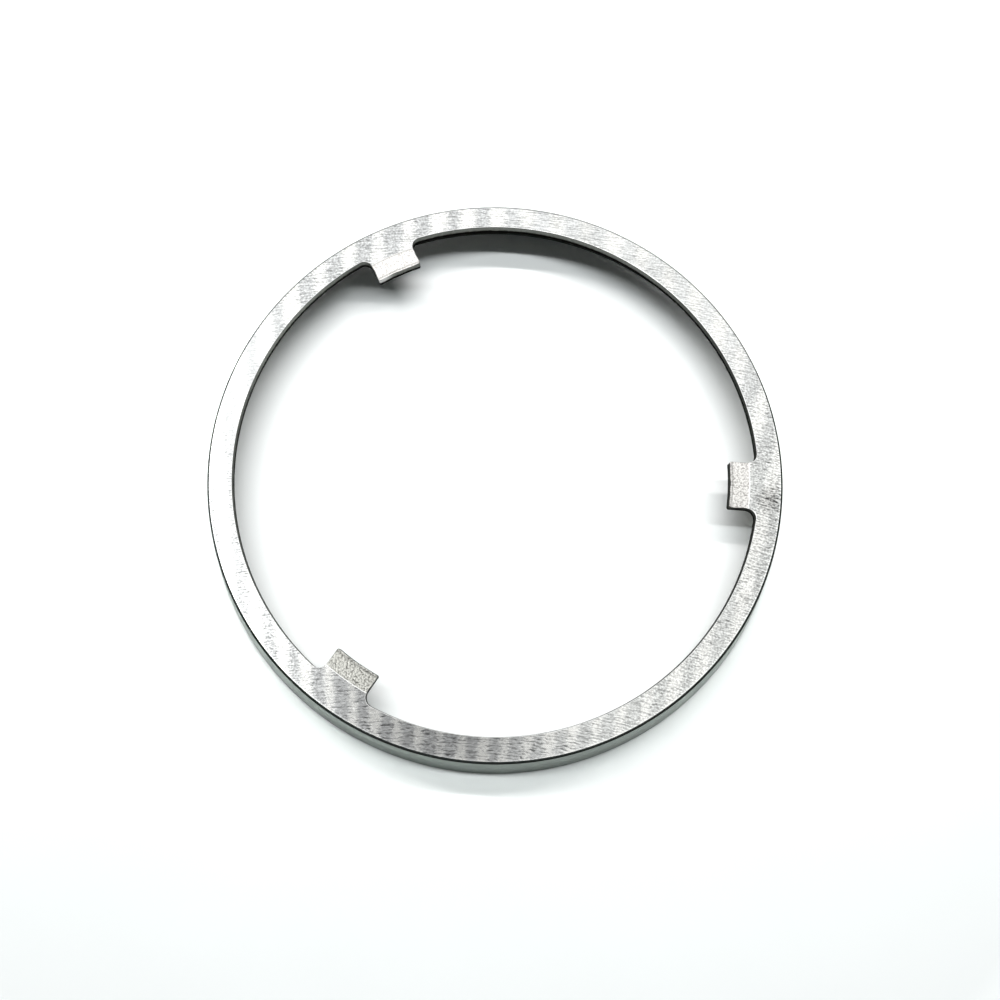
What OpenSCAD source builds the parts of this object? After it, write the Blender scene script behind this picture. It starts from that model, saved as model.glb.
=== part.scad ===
// Synchronizer ring: a conical steel wall, a flat flange turned inwards at its small end, and tabs that
// point inwards from the flange. It stands on its large end.
// The origin is the centre of the foot, and +Z runs along the ring's axis towards the flange.

/* [Cone] */
// Diameter of the flat top face, inside the break on its rim
face_diameter = 87; // [70:0.5:110]
// Height from the foot to the top face
ring_height = 8.5; // [6:0.1:14]
// Angle between the conical wall and the ring's axis
cone_half_angle = 12; // [6:0.5:15]
// Thickness of the conical wall, square to its surface
wall_thickness = 2.15; // [1.4:0.05:2.5]

/* [Flange] */
// Width of the flat top face, from its rim to the flange's inner edge
flange_width = 3.5; // [3.2:0.1:8]
// Thickness of the flange
flange_thickness = 1.9; // [1:0.05:2.6]

/* [Tabs] */
// Number of tabs, evenly spaced, with the first on +X
tab_count = 3; // [2:1:6]
// Width of a tab
tab_width = 7.25; // [5:0.05:12]
// Length of a tab, from the flange's inner edge to its tip
tab_length = 4.3; // [3.6:0.1:8]
// Radius of the fillets at the root of a tab
root_fillet = 1.4; // [0.6:0.1:1.8]
// Radius of the corners at the tip of a tab
tip_corner = 0.3; // [0.2:0.05:0.6]
// Distance from the flange's inner edge to the relief on a tab
relief_setback = 1.3; // [0.8:0.1:2]
// Depth of the relief below the ground top face
relief_depth = 0.2; // [0.05:0.05:0.4]

/* [Edges] */
// Size of the 45 degree break on the rim of the top face
rim_break = 0.25; // [0.1:0.05:0.6]
// Radius of the rounded edges of the foot
foot_edge = 0.3; // [0.1:0.05:0.6]
// Radius of the fillet inside, between the flange and the wall
inner_fillet = 0.8; // [0.3:0.1:1.2]

/* [Hidden] */
$fn = 180;
// Overlap between solids that are joined, and run-out of a cut past its face
overlap = 0.2;

face_radius = face_diameter / 2;
bore_radius = face_radius - flange_width;
tip_radius = bore_radius - tab_length;
relief_radius = bore_radius - relief_setback;
flange_bottom = ring_height - flange_thickness;

// Outer surface of the cone: from the bottom of the rim break down to the foot
rim_radius = face_radius + rim_break;
rim_bottom = ring_height - rim_break;
wall_run = wall_thickness / cos(cone_half_angle);
foot_outer = cone_radius(0);
foot_inner = foot_outer - wall_run;
wall_top_inner = cone_radius(flange_bottom) - wall_run;

// Directions along the wall in the section, with the radius first and the height second
up_wall = [-sin(cone_half_angle), cos(cone_half_angle)];
down_wall = -up_wall;
inwards = [-1, 0];
outwards = [1, 0];

// Radius of the cone's outer surface at a height
function cone_radius(height) = rim_radius + (rim_bottom - height) * tan(cone_half_angle);

// Distance from a corner to where an arc of this radius meets the edges, which leave it along a and b
function tangent_length(a, b, radius) = radius / tan(acos(a * b) / 2);

// Centre of that arc
function arc_centre(corner, a, b, radius) =
    corner + (a + b) / norm(a + b) * radius / sin(acos(a * b) / 2);

// The sliver between a corner, the arc's two ends and the arc itself
module corner_web(corner, first, second, centre, radius) {
    difference() {
        polygon([centre, first, corner, second]);
        translate(centre) circle(radius);
    }
}

// The sliver at a corner of two straight edges
module straight_web(corner, a, b, radius) {
    reach = tangent_length(a, b, radius);
    centre = arc_centre(corner, a, b, radius);
    corner_web(corner, corner + a * reach, corner + b * reach, centre, radius);
}

// Section of the ring through its axis: the flange, the conical wall, and their edges
module ring_section() {
    difference() {
        polygon([
            [foot_inner, 0],
            [foot_outer, 0],
            [rim_radius, rim_bottom],
            [face_radius, ring_height],
            [bore_radius, ring_height],
            [bore_radius, flange_bottom],
            [wall_top_inner, flange_bottom]
        ]);
        straight_web([foot_outer, 0], inwards, up_wall, foot_edge);
        straight_web([foot_inner, 0], outwards, up_wall, foot_edge);
    }
    straight_web([wall_top_inner, flange_bottom], inwards, down_wall, inner_fillet);
}

// Fillet between one side of a tab and the flange's inner edge
module root_web() {
    centre_radius = bore_radius - root_fillet;
    side = tab_width / 2;
    centre_y = side + root_fillet;
    centre = [sqrt(centre_radius ^ 2 - centre_y ^ 2), centre_y];
    on_side = [centre.x, side - overlap];
    on_bore = centre * (bore_radius + overlap) / centre_radius;
    corner = [bore_radius + overlap, side - overlap];
    corner_web(corner, on_side, on_bore, centre, root_fillet);
}

// What a rounded corner takes off the tip of a tab
module tip_web() {
    centre_radius = tip_radius + tip_corner;
    side = tab_width / 2;
    centre_y = side - tip_corner;
    centre = [sqrt(centre_radius ^ 2 - centre_y ^ 2), centre_y];
    on_side = [centre.x, side + overlap];
    on_tip = centre * (tip_radius - overlap) / centre_radius;
    corner = [sqrt(tip_radius ^ 2 - side ^ 2) - overlap, side + overlap];
    corner_web(corner, on_side, on_tip, centre, tip_corner);
}

// Outline of a tab on +X, with its tip on the tip circle and fillets at its root
module tab_outline() {
    difference() {
        translate([0, -tab_width / 2]) square([bore_radius + overlap, tab_width]);
        circle(tip_radius);
        for (flip = [0, 1]) mirror([0, flip]) tip_web();
    }
    for (flip = [0, 1]) mirror([0, flip]) root_web();
}

// One tab on +X: its tip lies below the top face, inside the relief circle
module tab() {
    difference() {
        translate([0, 0, flange_bottom]) linear_extrude(flange_thickness) tab_outline();
        translate([0, 0, ring_height - relief_depth])
            cylinder(r = relief_radius, h = relief_depth + overlap);
    }
}

module synchronizer_ring() {
    color("silver") {
        rotate_extrude() ring_section();
        for (i = [0 : tab_count - 1]) rotate([0, 0, i * 360 / tab_count]) tab();
    }
}

synchronizer_ring();
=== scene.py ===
"""Synchronizer ring: its mesh with fine edges, its steel finishes, the floor, the lights and the camera."""
import math

import bpy
import numpy as np
from mathutils import Euler, Matrix, Vector, noise


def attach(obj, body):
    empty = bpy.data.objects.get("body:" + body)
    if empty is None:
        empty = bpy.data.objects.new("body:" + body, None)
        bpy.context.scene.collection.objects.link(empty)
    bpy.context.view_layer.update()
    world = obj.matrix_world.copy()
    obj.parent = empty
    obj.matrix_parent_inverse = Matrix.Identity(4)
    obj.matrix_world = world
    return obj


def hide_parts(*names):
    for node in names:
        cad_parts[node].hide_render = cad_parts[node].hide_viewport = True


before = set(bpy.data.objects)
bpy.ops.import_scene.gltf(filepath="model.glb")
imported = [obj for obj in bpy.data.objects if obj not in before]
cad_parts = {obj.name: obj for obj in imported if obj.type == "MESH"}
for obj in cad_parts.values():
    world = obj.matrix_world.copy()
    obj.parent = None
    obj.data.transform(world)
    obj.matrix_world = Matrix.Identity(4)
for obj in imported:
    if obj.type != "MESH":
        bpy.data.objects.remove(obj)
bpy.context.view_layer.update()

NODE = "synchronizer_ring"
MM = 0.001

# Ring sizes in millimetres, as in the CAD model
FACE_RADIUS = 43.5
HEIGHT = 8.5
CONE_HALF_ANGLE = math.radians(12)
WALL_THICKNESS = 2.15
FLANGE_WIDTH = 3.5
FLANGE_THICKNESS = 1.9
TAB_COUNT = 3
TAB_WIDTH = 7.25
TAB_LENGTH = 4.3
ROOT_FILLET = 1.4
TIP_CORNER = 0.3
RELIEF_SETBACK = 1.3
RELIEF_DEPTH = 0.2
RIM_BREAK = 0.25
FOOT_EDGE = 0.3
INNER_FILLET = 0.8

# Fine edges that only the visual mesh has, in millimetres
EDGE_BREAK = 0.05
EDGE_BREAK_SWING = 0.1
EDGE_BREAK_LENGTH = 3.2
EDGE_ROLL = 0.2
RELIEF_SLOPE = 0.15
RELIEF_CREST = 0.11
RELIEF_CREST_DROP = 0.064
FACE_MARGIN = 0.03
RIM_LAND = 0.1
RIM_LIP = 0.25
RIM_LIP_DROP = 0.125
RIM_DROP = 0.42

# What is left of an edge break's reach at its shoulder and at its lower end
BREAK_SHOULDER = 0.55
BREAK_END = 0.35

# Middle of a quarter arc, from either of its tangents, as a share of its radius
ARC_MIDDLE = 1 - math.sqrt(0.5)

# Points round the mesh
BORE_STEPS = 220
FILLET_STEPS = 18
SIDE_STEPS = 12
CORNER_STEPS = 8
TIP_STEPS = 30
ROUND_STEPS = 4

# Edges of the mesh that turn by more than this stay sharp
SHARP_ANGLE = math.radians(26)

# Sizes that follow from those above
BORE_RADIUS = FACE_RADIUS - FLANGE_WIDTH
TIP_RADIUS = BORE_RADIUS - TAB_LENGTH
RELIEF_RADIUS = BORE_RADIUS - RELIEF_SETBACK
FLANGE_BOTTOM = HEIGHT - FLANGE_THICKNESS
RIM_RADIUS = FACE_RADIUS + RIM_BREAK
RIM_BOTTOM = HEIGHT - RIM_BREAK
WALL_RUN = WALL_THICKNESS / math.cos(CONE_HALF_ANGLE)
SECTOR = 2 * math.pi / TAB_COUNT

# Steel finishes, in the order of the mesh's materials
FINISHES = ["ground", "bright", "raw", "sheared", "inside", "cone", "rim"]

# Painted highlight along the front of the face's rim, and a painted grey shade line along its back, in
# metres
RIM_HIGHLIGHT_WIDTH = 0.00035
RIM_SHADE_WIDTH = 0.00024

# Painted shade of the rolled tip edge: a dark line on the tab tips, this far from their edge, in metres
TIP_SHADE_LINE = 0.00036

# Stain on the face by the tab on +X, and the tab corner that gets a painted highlight, in metres
STAIN = Vector((0.0414, -0.0018, 0.0))
HIGHLIGHT_CORNER = Vector((-0.021, 0.0291, 0.0))

# The grinding strokes are arcs about a far point, in metres, and paler bands of painted reflection cross
# them, in radians about it
GRIND_CENTRE = Vector((0.0, -0.189, 0.0))
REFLECTION_BAND_PITCH = 0.0209
REFLECTION_BAND_START = -0.0545

# Fine and broad strokes: width of a row and length of a dash in metres, and where the noise is read
FINE_STROKES = (0.00019, 0.0007, 0.0)
BROAD_STROKES = (0.00028, 0.0017, 7.0)

# The floor's half width, and the distances from the axis between which it starts to glow, in metres
FLOOR_SIZE = 3.0
FLOOR_GLOW = (0.102, 0.175)


def cone_radius(height):
    """Radius of the cone's outer surface at a height."""
    return RIM_RADIUS + (RIM_BOTTOM - height) * math.tan(CONE_HALF_ANGLE)


def arc_points(centre, radius, start, end, steps, outwards):
    """Points on an arc, each with the unit normal that points into the opening, without the last point."""
    angles = np.linspace(start, end, steps, endpoint=False)
    ways = np.column_stack([np.cos(angles), np.sin(angles)])
    return np.column_stack([np.array(centre) + radius * ways, ways if outwards else -ways])


def line_points(start, end, normal, steps):
    """Points on a straight edge, each with its normal, without the last point."""
    share = np.linspace(0, 1, steps, endpoint=False)[:, None]
    places = np.array(start) * (1 - share) + np.array(end) * share
    return np.column_stack([places, np.tile(normal, (steps, 1))])


def half_tab():
    """Inner edge from the bore to the middle of a tab's tip, on the -Y side of the tab on +X."""
    side_y = TAB_WIDTH / 2
    root_y = side_y + ROOT_FILLET
    root_x = math.sqrt((BORE_RADIUS - ROOT_FILLET) ** 2 - root_y ** 2)
    root_angle = math.atan2(root_y, root_x)
    tip_y = side_y - TIP_CORNER
    tip_x = math.sqrt((TIP_RADIUS + TIP_CORNER) ** 2 - tip_y ** 2)
    tip_angle = math.atan2(tip_y, tip_x)
    corner_end = math.pi - tip_angle
    fillet = arc_points((root_x, -root_y), ROOT_FILLET, -root_angle, math.pi / 2, FILLET_STEPS, False)
    side = line_points((root_x, -side_y), (tip_x, -side_y), (0, -1), SIDE_STEPS)
    corner = arc_points((tip_x, -tip_y), TIP_CORNER, 1.5 * math.pi, corner_end, CORNER_STEPS, True)
    tip = arc_points((0, 0), TIP_RADIUS, -tip_angle, 0, TIP_STEPS, False)
    return root_angle, np.vstack([fillet, side, corner, tip])


def flange_edge():
    """The flange's whole inner edge: places, normals into the opening, and matching angles on the rim."""
    root_angle, half = half_tab()
    middle = np.array([[TIP_RADIUS, 0, -1, 0]])
    mirrored = half[::-1] * (1, -1, 1, -1)
    tab = np.vstack([half, middle, mirrored])
    length = np.concatenate([[0], np.cumsum(np.hypot(*np.diff(tab[:, :2], axis=0).T))])
    tab_angles = root_angle * (2 * length / length[-1] - 1)
    bore = arc_points((0, 0), BORE_RADIUS, root_angle, SECTOR - root_angle, BORE_STEPS, False)[1:]
    bore_angles = np.arctan2(bore[:, 1], bore[:, 0])
    sector = np.vstack([tab, bore])
    angles = np.concatenate([tab_angles, bore_angles])
    edge = []
    for i in range(TAB_COUNT):
        c, s = math.cos(i * SECTOR), math.sin(i * SECTOR)
        turn = np.array([[c, s], [-s, c]])
        edge.append(np.column_stack([sector[:, :2] @ turn, sector[:, 2:] @ turn, angles + i * SECTOR]))
    edge = np.vstack(edge)
    return edge[:, :2], edge[:, 2:4], edge[:, 4]


def edge_breaks(places):
    """How far the edge break reaches onto the face at each place: a ragged line, as the grinding left it."""
    reach = []
    for x, y in places:
        swing = noise.noise(Vector((x, y, 4.0)) / EDGE_BREAK_LENGTH) + noise.noise(Vector((x, y, 9.0)))
        reach.append(EDGE_BREAK + EDGE_BREAK_SWING * max(0.0, swing))
    return np.array(reach)


def rounding(centre, radius, start, end):
    """Radius and height along a rounded edge of the section, both ends included."""
    angles = np.linspace(start, end, ROUND_STEPS + 1)
    return [(centre[0] + radius * math.cos(a), centre[1] + radius * math.sin(a)) for a in angles]


def wall_section():
    """Radius and height down the inside of the wall, across the foot and up the outside."""
    tilt = CONE_HALF_ANGLE
    fillet_z = FLANGE_BOTTOM - INNER_FILLET
    fillet_r = cone_radius(fillet_z) - WALL_RUN - INNER_FILLET / math.cos(tilt)
    inner_foot_r = cone_radius(FOOT_EDGE) - WALL_RUN + FOOT_EDGE / math.cos(tilt)
    outer_foot_r = cone_radius(FOOT_EDGE) - FOOT_EDGE / math.cos(tilt)
    section = rounding((fillet_r, fillet_z), INNER_FILLET, math.pi / 2, tilt)
    section += rounding((inner_foot_r, FOOT_EDGE), FOOT_EDGE, math.pi + tilt, 1.5 * math.pi)
    section += rounding((outer_foot_r, FOOT_EDGE), FOOT_EDGE, 1.5 * math.pi, 2 * math.pi + tilt)
    section.append((cone_radius(HEIGHT - RIM_DROP), HEIGHT - RIM_DROP))
    section.append((FACE_RADIUS - RIM_LAND + RIM_LIP, HEIGHT - RIM_LIP_DROP))
    return section


def ring_mesh():
    """The ring as closed loops of points joined by quads, and the material index of each quad."""
    places, normals, angles = flange_edge()
    breaks = edge_breaks(places)
    ways = np.column_stack([np.cos(angles), np.sin(angles)])
    rim = (FACE_RADIUS - RIM_LAND) * ways
    count = len(places)

    def circle(radius, height):
        return np.column_stack([radius * ways, np.full(count, height)])

    def inset(depth, height):
        depth, height = np.broadcast_to(depth, count), np.broadcast_to(height, count)
        return np.column_stack([places - normals * depth[:, None], height])

    # Inside the relief circle the tab lies lower, and a short slope leads down to it. The slope starts where
    # the line from the edge break to the rim crosses that circle.
    start = places - normals * breaks[:, None]
    run = rim - start
    low = np.hypot(*places.T) < RELIEF_RADIUS
    a, b = (run ** 2).sum(1), (start * run).sum(1)
    c = (start ** 2).sum(1) - RELIEF_RADIUS ** 2
    share = np.where(low, (-b + np.sqrt(np.maximum(b * b - a * c, 0))) / a, 0)
    length = np.sqrt(a)
    top = start + run * np.maximum(share, 2 * FACE_MARGIN / length)[:, None]
    slope = np.where(low, RELIEF_SLOPE, FACE_MARGIN) / length
    bottom = start + run * np.maximum(share - slope, FACE_MARGIN / length)[:, None]
    level = np.where(low, HEIGHT - RELIEF_DEPTH, HEIGHT)
    crest = top + (bottom - top) * RELIEF_CREST / RELIEF_SLOPE
    crest_level = np.where(low, HEIGHT - RELIEF_CREST_DROP, HEIGHT)

    # From the rim across the face, down the flange's inner edge, under the flange and round the wall
    loops = [
        circle(FACE_RADIUS - RIM_LAND, HEIGHT),
        np.column_stack([top, np.full(count, HEIGHT)]),
        np.column_stack([crest, crest_level]),
        np.column_stack([bottom, level]),
        inset(breaks, level),
        inset(breaks * BREAK_SHOULDER, level - breaks * ARC_MIDDLE),
        inset(breaks * BREAK_END, level - breaks),
        inset(0, FLANGE_BOTTOM + EDGE_ROLL),
        inset(EDGE_ROLL * ARC_MIDDLE, FLANGE_BOTTOM + EDGE_ROLL * ARC_MIDDLE),
        inset(EDGE_ROLL, FLANGE_BOTTOM),
    ]

    # Strips of quads, each by the number of the loop that it starts from
    slope_strips, patch_strip, edge_strips = (1, 2), 3, range(6, len(loops) - 1)
    inside_strips = range(len(loops) - 1, len(loops) + 2 * ROUND_STEPS + 1)
    loops += [circle(r, z) for r, z in wall_section()]
    foot_strips = range(inside_strips.stop + 1, inside_strips.stop + 1 + ROUND_STEPS)
    rim_strips = range(len(loops) - 2, len(loops))

    def finish(strip, column):
        on_tab = low[column] and low[(column + 1) % count]
        if strip in slope_strips and on_tab:
            return FINISHES.index("bright")
        if strip == patch_strip and on_tab:
            return FINISHES.index("raw")
        if strip <= patch_strip:
            return FINISHES.index("ground")
        if strip < edge_strips.start and not on_tab:
            return FINISHES.index("bright")
        if strip < inside_strips.start:
            return FINISHES.index("sheared")
        if strip in inside_strips:
            return FINISHES.index("inside")
        return FINISHES.index("rim" if strip in rim_strips or strip in foot_strips else "cone")

    faces, finishes = [], []
    for strip in range(len(loops)):
        here, there = strip * count, (strip + 1) % len(loops) * count
        for i in range(count):
            j = (i + 1) % count
            faces.append((here + i, here + j, there + j, there + i))
            finishes.append(finish(strip, i))
    return np.vstack(loops) * MM, faces, finishes


def ring_piece(materials):
    """The ring's object, which stands for the CAD node."""
    points, faces, finishes = ring_mesh()
    mesh = bpy.data.meshes.new("ring")
    mesh.from_pydata(points.tolist(), [], faces)
    for name in FINISHES:
        mesh.materials.append(materials[name])
    mesh.polygons.foreach_set("material_index", finishes)
    mesh.shade_smooth()
    mesh.set_sharp_from_angle(angle=SHARP_ANGLE)
    mesh.update()
    piece = bpy.data.objects.new("ring", mesh)
    bpy.context.scene.collection.objects.link(piece)
    return piece


class Nodes:
    """Short calls for making the nodes of one material, or of the room."""

    def __init__(self, owner):
        owner.use_nodes = True
        self.owner = owner
        self.tree = owner.node_tree

    def put(self, target, value):
        """Link a socket to an input, or set the input to a plain value."""
        if isinstance(value, bpy.types.NodeSocket):
            self.tree.links.new(value, target)
        else:
            target.default_value = value

    def make(self, kind, inputs=(), **settings):
        node = self.tree.nodes.new(kind)
        for key, value in settings.items():
            setattr(node, key, value)
        for key, value in dict(inputs).items():
            self.put(node.inputs[key], value)
        return node

    def math(self, operation, first, second=0.0):
        return self.make("ShaderNodeMath", {0: first, 1: second}, operation=operation).outputs[0]

    def product(self, first, *others):
        for other in others:
            first = self.math("MULTIPLY", first, other)
        return first

    def vector(self, operation, first, second=(0, 0, 0)):
        key = "Scale" if operation == "SCALE" else 1
        node = self.make("ShaderNodeVectorMath", {0: first, key: second}, operation=operation)
        return node.outputs["Value" if operation in ("LENGTH", "DOT_PRODUCT") else "Vector"]

    def parts(self, vector):
        outputs = self.make("ShaderNodeSeparateXYZ", {"Vector": vector}).outputs
        return outputs["X"], outputs["Y"], outputs["Z"]

    def joined(self, x, y, z):
        return self.make("ShaderNodeCombineXYZ", {"X": x, "Y": y, "Z": z}).outputs["Vector"]

    def place(self):
        return self.make("ShaderNodeTexCoord").outputs["Object"]

    def noise(self, vector, scale, detail=2.0):
        inputs = {"Vector": vector, "Scale": scale, "Detail": detail}
        return self.make("ShaderNodeTexNoise", inputs).outputs["Fac"]

    def spread(self, value, low, high, to_low=0.0, to_high=1.0, shape="LINEAR"):
        """A value's range from low to high, spread over another range and held at its ends."""
        inputs = {"Value": value, "From Min": low, "From Max": high, "To Min": to_low, "To Max": to_high}
        return self.make("ShaderNodeMapRange", inputs, interpolation_type=shape).outputs["Result"]

    def smooth(self, value, low, high):
        """Share from 0 at low to 1 at high, with soft ends."""
        return self.spread(value, low, high, shape="SMOOTHSTEP")

    def factor(self, share, full):
        """Factor that is 1 where a share is 0, and reaches its full value where the share is 1."""
        return self.spread(share, 0.0, 1.0, 1.0, full)

    def mix(self, share, first, second):
        """Mix of two colours, which are inputs 6 and 7 of the node and output 2."""
        node = self.make("ShaderNodeMix", data_type="RGBA")
        self.put(node.inputs[0], share)
        self.put(node.inputs[6], first)
        self.put(node.inputs[7], second)
        return node.outputs[2]

    def tinted(self, tint, tone):
        """A tint made darker by a tone, which is held between 0.05 and 1."""
        tone = self.make("ShaderNodeClamp", {"Value": tone, "Min": 0.05, "Max": 1.0}).outputs["Result"]
        return self.vector("SCALE", tint, tone)

    def bump(self, height, distance):
        return self.make("ShaderNodeBump", {"Height": height, "Distance": distance}).outputs["Normal"]

    def set(self, **values):
        """Set the material's inputs, with _ for a space in their names, and give the material."""
        shader = self.tree.nodes["Principled BSDF"]
        for key, value in values.items():
            self.put(shader.inputs[key.replace("_", " ")], value)
        return self.owner


def material_nodes(name):
    return Nodes(bpy.data.materials.new(name))


def colour(red, green, blue):
    return (red, green, blue, 1.0)


def polar(n, centre):
    """Distance from a point of the floor plan, turn about it from +Y, and the direction away from it."""
    arm = n.vector("MULTIPLY", n.vector("SUBTRACT", n.place(), centre), (1, 1, 0))
    x, y, _ = n.parts(arm)
    return n.vector("LENGTH", arm), n.math("ARCTAN2", x, y), n.vector("NORMALIZE", arm)


def strokes(n, distance, turn, period, length, seed):
    """Rows of fine dashes along the grinding strokes, dark (-1) and bright (1) in turn; the bright dashes
    give the face its painted glints.
    """
    along = n.math("MULTIPLY", turn, -GRIND_CENTRE.y / length)
    across = n.math("DIVIDE", distance, period)

    # The rows sway a little, and each row reads its dashes from its own line of the noise
    plan = n.joined(across, along, seed)
    sway = n.noise(n.vector("MULTIPLY", plan, (0.25, 0.5, 1.0)), 1.0, 1.0)
    row = n.math("FLOOR", n.math("ADD", across, n.math("MULTIPLY", sway, 4.0)))
    dash = n.noise(n.joined(n.math("MULTIPLY", row, 7.31), along, seed), 1.0, 1.0)
    sign = n.spread(n.math("MODULO", row, 2.0), 0.0, 1.0, -1.0, 1.0)
    return n.product(sign, n.spread(dash, 0.4, 0.66))


def ground_steel():
    """Bright face, ground with fine strokes that all run much the same way, crossed by paler bands of
    painted reflection, with painted glints and painted reflected light that differs over the face.
    """
    n = material_nodes("ground_steel")
    x, y, _ = n.parts(n.place())
    radius, _, _ = polar(n, Vector())
    distance, turn, direction = polar(n, GRIND_CENTRE)
    fine = strokes(n, distance, turn, *FINE_STROKES)
    broad = strokes(n, distance, turn, *BROAD_STROKES)
    stroke = n.math("ADD", n.math("MULTIPLY", fine, 0.55), n.math("MULTIPLY", broad, 0.45))
    patch = n.noise(n.place(), 150.0)

    # The paler bands, a painted reflection of the light columns, ragged along the strokes
    phase = n.math("MULTIPLY", n.math("SUBTRACT", turn, REFLECTION_BAND_START), 2 * math.pi / REFLECTION_BAND_PITCH)
    wave = n.math("ADD", n.math("COSINE", phase), n.spread(patch, 0.3, 0.7, -0.6, 0.6))
    painted_band = n.spread(n.math("ADD", wave, n.math("MULTIPLY", stroke, 0.6)), -0.5, 0.9)

    # Where the face differs: by the tab on +X it is darker with stronger strokes; on the right, back right,
    # front left and left the masks paint reflected light as a paler or evened tone, other specks and weaker
    # strokes
    darker_by_tab = n.spread(x, 0.0385, 0.042)
    right = n.product(n.spread(x, 0.0, 0.02), n.spread(y, 0.015, 0.0, 0.55, 1.0))
    back_right = n.product(n.spread(x, -0.01, 0.004, 0.0, 0.7), n.spread(y, 0.014, 0.024))
    front_left = n.product(n.spread(x, -0.014, -0.026), n.spread(y, -0.016, -0.028))
    plain_left = n.product(n.spread(x, -0.033, -0.039), n.spread(y, -0.004, 0.006))

    # Fine specks everywhere but at the front
    aside = n.math("ABSOLUTE", x)
    specked = n.math("MAXIMUM", n.spread(aside, 0.012, 0.026), n.spread(y, 0.0, 0.02))
    specked = n.product(specked, n.spread(back_right, 0.0, 0.7, 1.0, 0.5))
    speck = n.spread(n.noise(n.place(), 3200.0), 0.36, 0.62, -0.15, 0.09)
    speck = n.product(speck, n.factor(right, 1.4), specked, n.factor(plain_left, 0.2))

    # How much the strokes show, which also changes over the face as painted reflected light
    depth = n.product(
        n.spread(y, -0.01, 0.03, 0.51, 0.31),
        n.spread(x, 0.0, 0.03, 1.0, 0.8),
        n.spread(x, -0.042, -0.032, 0.5, 1.0),
        n.factor(darker_by_tab, 1.35),
        n.factor(back_right, 0.95),
        n.factor(front_left, 0.65),
        n.factor(specked, 0.72),
        n.factor(plain_left, 0.35),
    )
    # Dark cuts of the grinding strokes, and on their bright side painted glints
    cut = n.product(n.spread(stroke, 0.0, -0.8), depth)
    painted_glint = n.product(n.spread(stroke, 0.0, 0.8), depth, 0.6)

    # The painted highlight and the painted grey shade line along the rim, and the stain with its ragged edge
    rim = FACE_RADIUS * MM
    painted_rim_highlight = n.spread(radius, rim - RIM_HIGHLIGHT_WIDTH, rim - RIM_HIGHLIGHT_WIDTH / 2)
    painted_rim_highlight = n.product(painted_rim_highlight, n.spread(y, 0.0, 0.02, 0.3, 0.0))
    painted_rim_shade = n.spread(radius, rim - RIM_SHADE_WIDTH, rim - RIM_SHADE_WIDTH / 2)
    painted_rim_shade = n.product(painted_rim_shade, n.spread(y, 0.012, 0.03))
    ragged = n.spread(n.noise(n.place(), 1800.0), 0.3, 0.7, -0.0007, 0.0007)
    stain = n.spread(n.math("ADD", polar(n, STAIN)[0], ragged), 0.0009, 0.0023, 0.27, 0.0)

    # Tone of the painted reflection bands, raised on the right and evened at the back right as painted
    # reflected light
    tone = n.spread(painted_band, 0.0, 1.0, n.spread(right, 0.0, 1.0, 0.54, 0.68), 0.86)
    tone = n.spread(back_right, 0.0, 1.0, tone, n.spread(patch, 0.3, 0.7, 0.55, 0.73))
    tone = n.math("ADD", tone, speck)
    tone = n.spread(painted_rim_shade, 0.0, 1.0, tone, 0.5)
    for darker in (stain, n.math("MULTIPLY", darker_by_tab, 0.07), cut):
        tone = n.math("SUBTRACT", tone, darker)
    for lighter in (painted_glint, painted_rim_highlight):
        tone = n.math("ADD", tone, lighter)
    shade = n.mix(right, colour(0.97, 0.99, 0.995), colour(0.98, 1.0, 0.985))
    pale = n.mix(painted_band, shade, colour(0.995, 1.0, 0.975))
    return n.set(
        Base_Color=n.tinted(pale, tone),
        Metallic=1.0,
        Roughness=n.spread(stroke, -0.8, 0.8, 0.24, 0.16),
        Anisotropic=0.6,
        Tangent=direction,
        Normal=n.bump(stroke, 0.000002),
    )


def bright_steel():
    """Break along the flange's inner edge and slope at the tab tips, in steel paler than the rest, partly as
    a painted highlight.
    """
    n = material_nodes("bright_steel")
    haze = n.noise(n.place(), 1500.0)
    return n.set(
        Base_Color=n.mix(haze, colour(0.85, 0.85, 0.84), colour(1.0, 1.0, 0.99)),
        Metallic=1.0,
        Roughness=n.spread(haze, 0.3, 0.7, 0.35, 0.2),
    )


def raw_steel():
    """Matt, sandy skin of the tab tips, below the reach of the grinding, made paler towards the back by
    painted light, with a painted shade line along the tip edge.
    """
    n = material_nodes("raw_steel")
    grain = n.noise(n.place(), 3600.0)
    patches = n.noise(n.place(), 900.0)
    _, y, _ = n.parts(n.place())
    # Painted light: the skin is paler towards the back
    pale = n.spread(y, -0.03, 0.0)
    dark = n.mix(pale, colour(0.12, 0.12, 0.11), colour(0.33, 0.316, 0.302))
    dark = n.mix(n.spread(y, 0.0, 0.03), dark, colour(0.47, 0.45, 0.44))
    light = n.mix(pale, colour(0.56, 0.56, 0.525), colour(0.88, 0.87, 0.845))
    tone = n.mix(n.spread(grain, 0.36, 0.58), dark, light)
    tone = n.mix(n.spread(patches, 0.35, 0.65, 0.0, 0.35), tone, light)
    # Painted shade along the rolled edge of the tip
    radius, _, _ = polar(n, Vector())
    tip_shade = n.math("ABSOLUTE", n.math("SUBTRACT", radius, TIP_RADIUS * MM + TIP_SHADE_LINE))
    return n.set(
        Base_Color=n.vector("SCALE", tone, n.spread(tip_shade, 0.00008, 0.0002, 0.62, 1.0)),
        Metallic=1.0,
        Roughness=0.28,
        Normal=n.bump(grain, 0.00004),
    )


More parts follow.
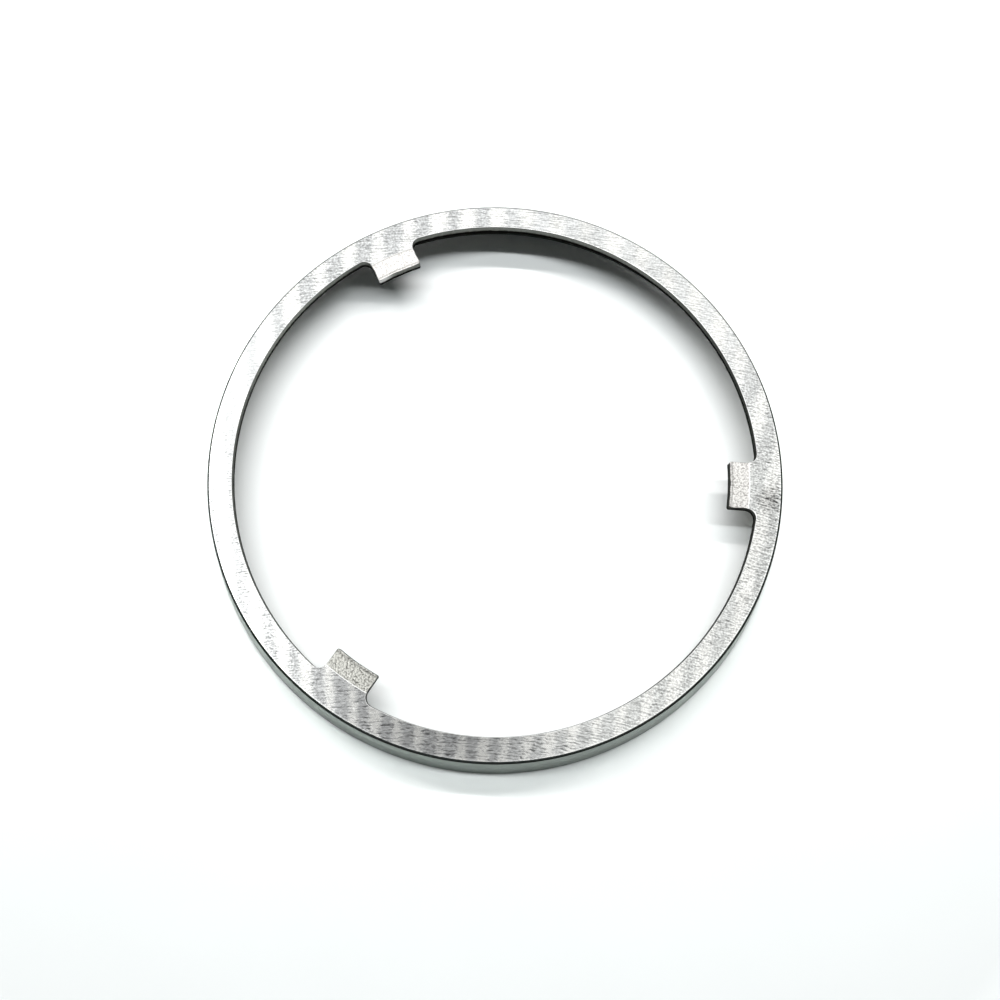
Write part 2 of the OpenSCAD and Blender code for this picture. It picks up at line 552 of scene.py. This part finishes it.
def sheared_steel():
    """Dull inner edge of the flange and tabs: burnished in the middle, dark at its top, and black at its
    bottom for both the torn zone and painted shade; painted light and shade by side, and a painted highlight
    at one corner.
    """
    n = material_nodes("sheared_steel")
    x, y, z = n.parts(n.place())
    rough = n.noise(n.place(), 2500.0, 3.0)
    level = n.math("ADD", z, n.math("MULTIPLY", rough, 0.0003))

    # Painted light on the burnish: painted shade on the right, painted light at the back left, and a painted
    # highlight at one corner
    burnish = n.mix(rough, colour(0.05, 0.053, 0.05), colour(0.19, 0.195, 0.18))
    back_left = n.product(n.spread(x, -0.026, -0.034), n.spread(y, 0.004, 0.014))
    painted_side_light = n.product(n.spread(x, 0.02, 0.037, 1.28, 0.58), n.factor(back_left, 1.5))
    corner_highlight = n.spread(polar(n, HIGHLIGHT_CORNER)[0], 0.0012, 0.0028, 0.85, 0.0)
    burnish = n.mix(corner_highlight, n.vector("SCALE", burnish, painted_side_light), colour(0.55, 0.55, 0.54))
    # Black towards the bottom, for both the torn zone and painted shade under the flange
    torn_and_shaded = n.mix(n.spread(level, 0.0074, 0.00765), colour(0.011, 0.011, 0.01), burnish)
    return n.set(
        Base_Color=n.mix(n.spread(level, 0.0083, 0.0086), torn_and_shaded, colour(0.012, 0.012, 0.012)),
        Metallic=1.0,
        Specular_Tint=colour(0.3, 0.3, 0.3),
        Roughness=0.45,
        Normal=n.bump(rough, 0.00004),
    )


def inside_steel():
    """Near-black steel under the flange and inside the cone, as painted shade of the deep shadow there."""
    n = material_nodes("inside_steel")
    haze = n.noise(n.place(), 700.0, 4.0)
    return n.set(
        Base_Color=n.mix(haze, colour(0.01, 0.01, 0.009), colour(0.035, 0.035, 0.032)),
        Metallic=1.0,
        Roughness=0.4,
        Normal=n.bump(haze, 0.00003),
    )


def cone_steel():
    """Smooth grey wall of the cone, with painted shade that darkens it towards the foot, less on the left
    and right sides.
    """
    n = material_nodes("cone_steel")
    haze = n.noise(n.place(), 300.0, 3.0)
    x, _, z = n.parts(n.place())
    # Painted shade towards the foot, lighter on the left and right sides
    aside = n.spread(n.math("ABSOLUTE", x), 0.01, 0.03)
    painted_foot_shade = n.mix(aside, colour(0.53, 0.56, 0.54), colour(0.84, 0.87, 0.84))
    return n.set(
        Base_Color=n.mix(haze, colour(0.12, 0.127, 0.122), colour(0.138, 0.146, 0.14)),
        Metallic=1.0,
        Specular_Tint=n.mix(n.spread(z, 0.0005, 0.0065), painted_foot_shade, colour(0.9, 0.95, 0.91)),
        Roughness=0.3,
    )


def rim_steel():
    """Break round the rim of the top face and edge of the foot, near-black as painted shade, and made paler
    at the back and a little on the left by painted light.
    """
    n = material_nodes("rim_steel")
    haze = n.noise(n.place(), 900.0, 3.0)
    x, y, _ = n.parts(n.place())
    # Painted light: paler at the back and a little on the left
    painted_back_light = n.math("MAXIMUM", n.spread(y, 0.012, 0.042), n.spread(x, -0.034, -0.043, 0.0, 0.12))
    dark = n.mix(haze, colour(0.012, 0.015, 0.014), colour(0.03, 0.034, 0.032))
    return n.set(
        Base_Color=n.mix(painted_back_light, dark, colour(0.33, 0.335, 0.33)),
        Metallic=1.0,
        Specular_Tint=colour(0.15, 0.15, 0.15),
        Roughness=0.4,
    )


def floor_material():
    """Plain white floor, which stays as pale far from the lights."""
    n = material_nodes("floor")
    haze = n.noise(n.place(), 40.0)
    radius, _, _ = polar(n, Vector())
    return n.set(
        Base_Color=n.mix(haze, colour(0.86, 0.87, 0.87), colour(0.89, 0.9, 0.9)),
        Roughness=0.8,
        Emission_Color=colour(0.96, 0.97, 0.97),
        Emission_Strength=n.spread(radius, *FLOOR_GLOW),
    )


def add_floor():
    size = FLOOR_SIZE
    mesh = bpy.data.meshes.new("floor")
    corners = [(-size, -size, 0), (size, -size, 0), (size, size, 0), (-size, size, 0)]
    mesh.from_pydata(corners, [], [(0, 1, 2, 3)])
    mesh.materials.append(floor_material())
    floor = bpy.data.objects.new("floor", mesh)
    bpy.context.scene.collection.objects.link(floor)


# Light bars in metres: start and end along X, place across the ring, height, power and tint
BAR_WIDTH = 0.018
BARS = [
    (-0.197, 0.180, 0.042, 0.359, 0.92, (0.96, 1.0, 1.005)),
    (-0.229, 0.184, 0.145, 0.322, 1.2, (1.0, 0.99, 0.985)),
]

# What the steel mirrors of the room: near the horizon, on the left, on the right, at the back and overhead
ROOM_LOW = colour(0.95, 0.96, 0.955)
ROOM_LEFT = colour(2.9, 2.9, 2.88)
ROOM_RIGHT = colour(1.05, 1.05, 1.04)
ROOM_BACK = colour(1.45, 1.45, 1.44)
ROOM_TOP = colour(0.05, 0.05, 0.05)
TOP_DIRECTION = Vector((-0.055, 0.0, 1.0)).normalized()
TOP_CORE, TOP_EDGE = math.radians(3.5), math.radians(9)

# What its walls mirror onto the floor, from the left, the right and the front
ROOM_SIDE_LEFT = colour(60.0, 61.0, 60.5)
ROOM_SIDE_RIGHT = colour(26.0, 26.5, 26.2)
ROOM_FRONT = colour(0.0, 0.0, 0.0)

# What the floor gets straight from the room, and from low down at the back, and what the camera sees of it
ROOM_FLOOR = colour(0.085, 0.095, 0.092)
ROOM_LOW_BACK = colour(0.45, 0.48, 0.47)
ROOM_SEEN = colour(1.0, 1.0, 1.0)


def add_room():
    """Pale room that the steel mirrors, darker overhead, and that gives the floor only a little light."""
    world = bpy.data.worlds.new("room")
    n = Nodes(world)
    rays = n.make("ShaderNodeLightPath").outputs
    direction = n.make("ShaderNodeTexCoord").outputs["Generated"]
    x, y, z = n.parts(direction)

    # What the steel mirrors
    back = n.mix(n.smooth(y, 0.28, 0.35), ROOM_RIGHT, ROOM_BACK)
    back = n.mix(n.smooth(z, 0.38, 0.53), ROOM_LOW, back)
    left = n.mix(n.smooth(z, 0.65, 0.8), ROOM_LOW, ROOM_LEFT)
    across = n.math("ADD", x, n.math("MULTIPLY", y, 0.2))
    mirrored = n.mix(n.smooth(across, -0.28, -0.14), left, back)
    upwards = n.vector("DOT_PRODUCT", direction, TOP_DIRECTION)
    overhead = n.smooth(upwards, math.cos(TOP_EDGE), math.cos(TOP_CORE))
    mirrored = n.mix(overhead, mirrored, ROOM_TOP)

    # What its walls mirror onto the floor
    azimuth = n.math("ARCTAN2", n.math("ABSOLUTE", x), n.math("MULTIPLY", y, -1.0))
    right_share = n.smooth(azimuth, math.radians(50), math.radians(85))
    left_share = n.smooth(azimuth, math.radians(60), math.radians(95))
    from_right = n.mix(right_share, ROOM_FRONT, ROOM_SIDE_RIGHT)
    from_left = n.mix(left_share, ROOM_FRONT, ROOM_SIDE_LEFT)
    thrown = n.mix(n.smooth(x, -0.05, 0.05), from_left, from_right)

    # What the floor gets straight from the room
    low_back = n.product(n.smooth(y, 0.4, 0.6), n.smooth(z, 0.75, 0.6))
    given = n.mix(low_back, ROOM_FLOOR, ROOM_LOW_BACK)

    # Which of these a ray finds
    seen = n.mix(rays["Diffuse Depth"], mirrored, thrown)
    seen = n.mix(rays["Is Camera Ray"], seen, ROOM_SEEN)
    seen = n.mix(rays["Is Diffuse Ray"], seen, given)
    n.put(n.tree.nodes["Background"].inputs["Color"], seen)
    world.cycles.sampling_method = "NONE"
    bpy.context.scene.world = world


def add_lights():
    """Two long bars overhead, which light the floor and throw the ring's shadows."""
    for i, (start, end, y, height, power, tint) in enumerate(BARS):
        light = bpy.data.lights.new(f"bar_{i}", "AREA")
        light.shape = "RECTANGLE"
        light.size, light.size_y = end - start, BAR_WIDTH
        light.energy = power
        light.color = tint
        lamp = bpy.data.objects.new(f"bar_{i}", light)
        lamp.location = ((start + end) / 2, y, height)
        lamp.visible_glossy = False
        bpy.context.scene.collection.objects.link(lamp)


# Camera: place in metres, tilt from straight down, roll, and lens for a 36 mm sensor
CAMERA_PLACE = (0.00093, -0.03778, 0.14803)
CAMERA_TILT = math.radians(13.13)
CAMERA_ROLL = math.radians(4.37)
CAMERA_LENS = 34.2


def add_camera():
    camera = bpy.data.cameras.new("camera")
    camera.lens = CAMERA_LENS
    camera.clip_start = 0.01
    spot = bpy.data.objects.new("camera", camera)
    turn = Euler((CAMERA_TILT, 0, 0)).to_matrix() @ Matrix.Rotation(CAMERA_ROLL, 3, "Z")
    spot.matrix_world = Matrix.Translation(CAMERA_PLACE) @ turn.to_4x4()
    bpy.context.scene.collection.objects.link(spot)
    bpy.context.scene.camera = spot


add_camera()
add_floor()
add_lights()
add_room()
ring = ring_piece({
    "ground": ground_steel(),
    "bright": bright_steel(),
    "raw": raw_steel(),
    "sheared": sheared_steel(),
    "inside": inside_steel(),
    "cone": cone_steel(),
    "rim": rim_steel(),
})
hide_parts(NODE)
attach(ring, "root")
bpy.context.scene.view_settings.view_transform = "Standard"
